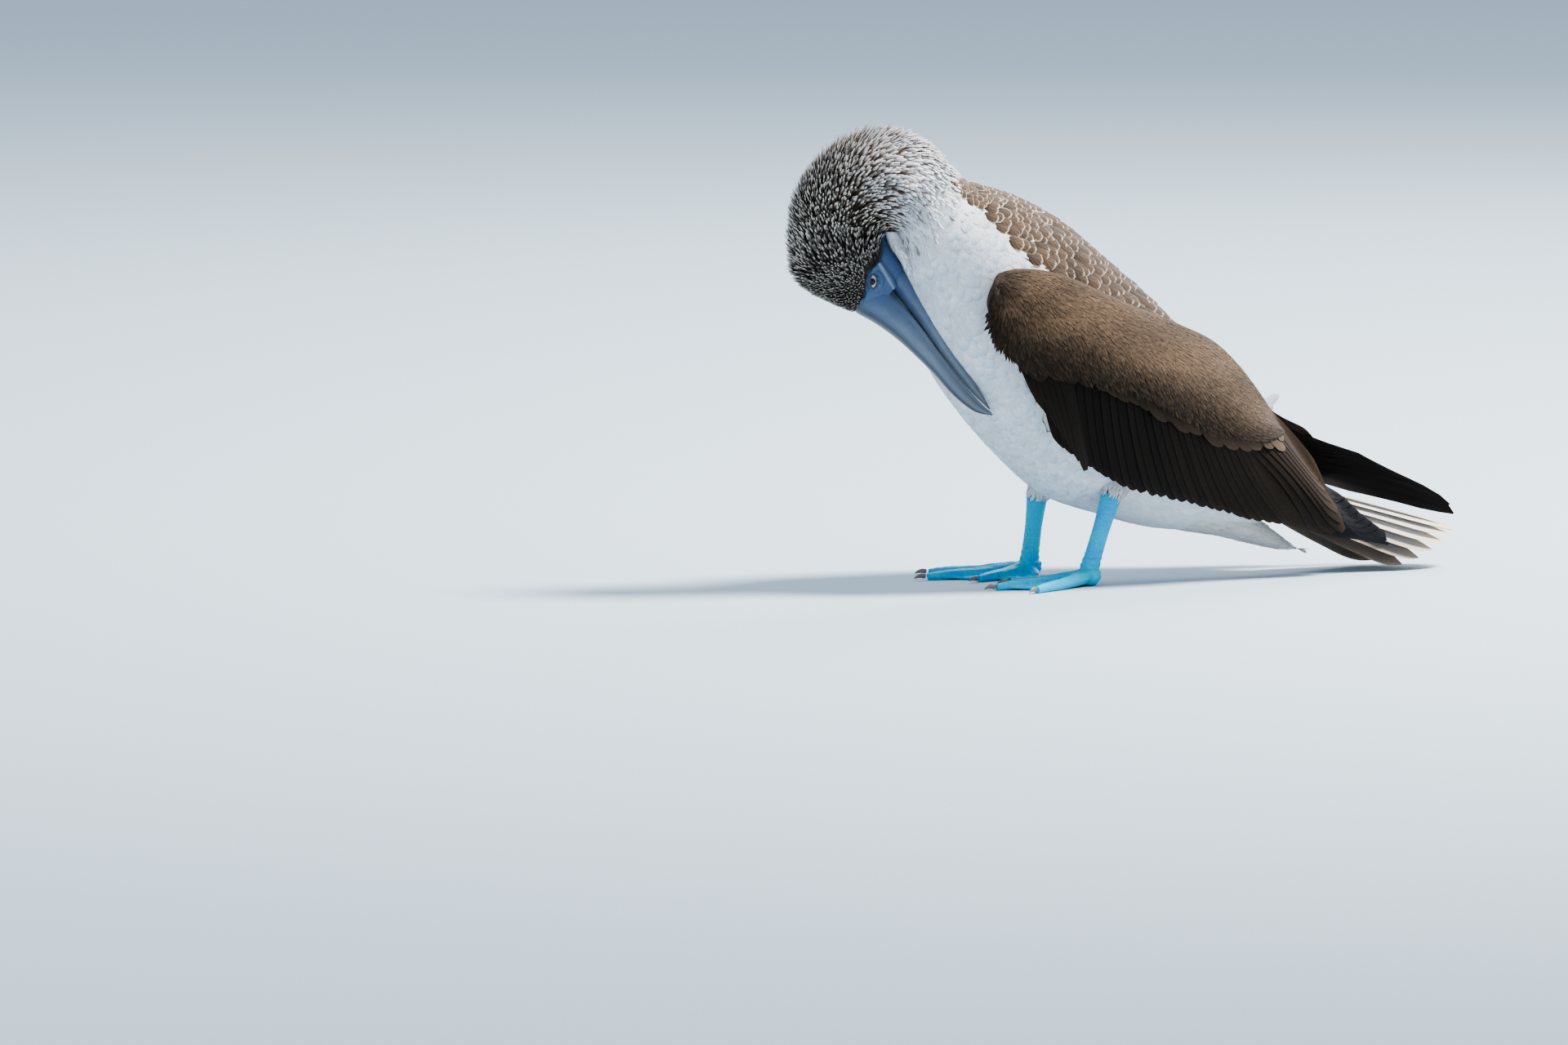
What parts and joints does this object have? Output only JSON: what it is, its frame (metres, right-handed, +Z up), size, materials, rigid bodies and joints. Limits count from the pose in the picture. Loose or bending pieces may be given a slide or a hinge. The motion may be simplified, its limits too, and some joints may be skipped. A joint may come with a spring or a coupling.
{
  "type": "blue footed booby model",
  "caption": "Still life-size model of a blue-footed booby standing with its neck arched over, its bill tucked down beside its breast, wings folded and tail spread behind.",
  "frame": {"origin": "middle of the bounding box at floor level, the plane that the toes stand on", "axes": "+X towards the tail, so the bird faces -X; +Y towards the bird's right side; +Z up"},
  "size_m": [0.4872, 0.1632, 0.3044],
  "materials": {
    "head_feathers": "matt feathers, dark brown with white tips",
    "neck_feathers": "matt feathers, brown and white",
    "body_feathers": "soft matt feathers, white below and scaled brown on the back",
    "wing_feathers": "matt feathers, dark brown",
    "tail_feathers": "matt feathers, pale with brown",
    "bill": "satin horn, slate blue",
    "eye": "glossy, pale yellow iris with a black pupil",
    "foot_skin": "satin skin, bright turquoise blue",
    "claw": "satin horn, grey brown"
  },
  "bodies": {
    "root": {"torso": "body_feathers", "neck": "neck_feathers", "head": "head_feathers", "eye_left": "eye", "eye_right": "eye", "bill_upper": "bill", "bill_lower": "bill", "wing_left": "wing_feathers", "wing_right": "wing_feathers", "tail": "tail_feathers", "thigh_left": "body_feathers", "thigh_right": "body_feathers", "leg_left": "foot_skin", "leg_right": "foot_skin", "foot_left": "foot_skin", "foot_right": "foot_skin", "claw_left_outer": "claw", "claw_left_middle": "claw", "claw_left_inner": "claw", "claw_left_hind": "claw", "claw_right_outer": "claw", "claw_right_middle": "claw", "claw_right_inner": "claw", "claw_right_hind": "claw"}
  },
  "joints": []
}
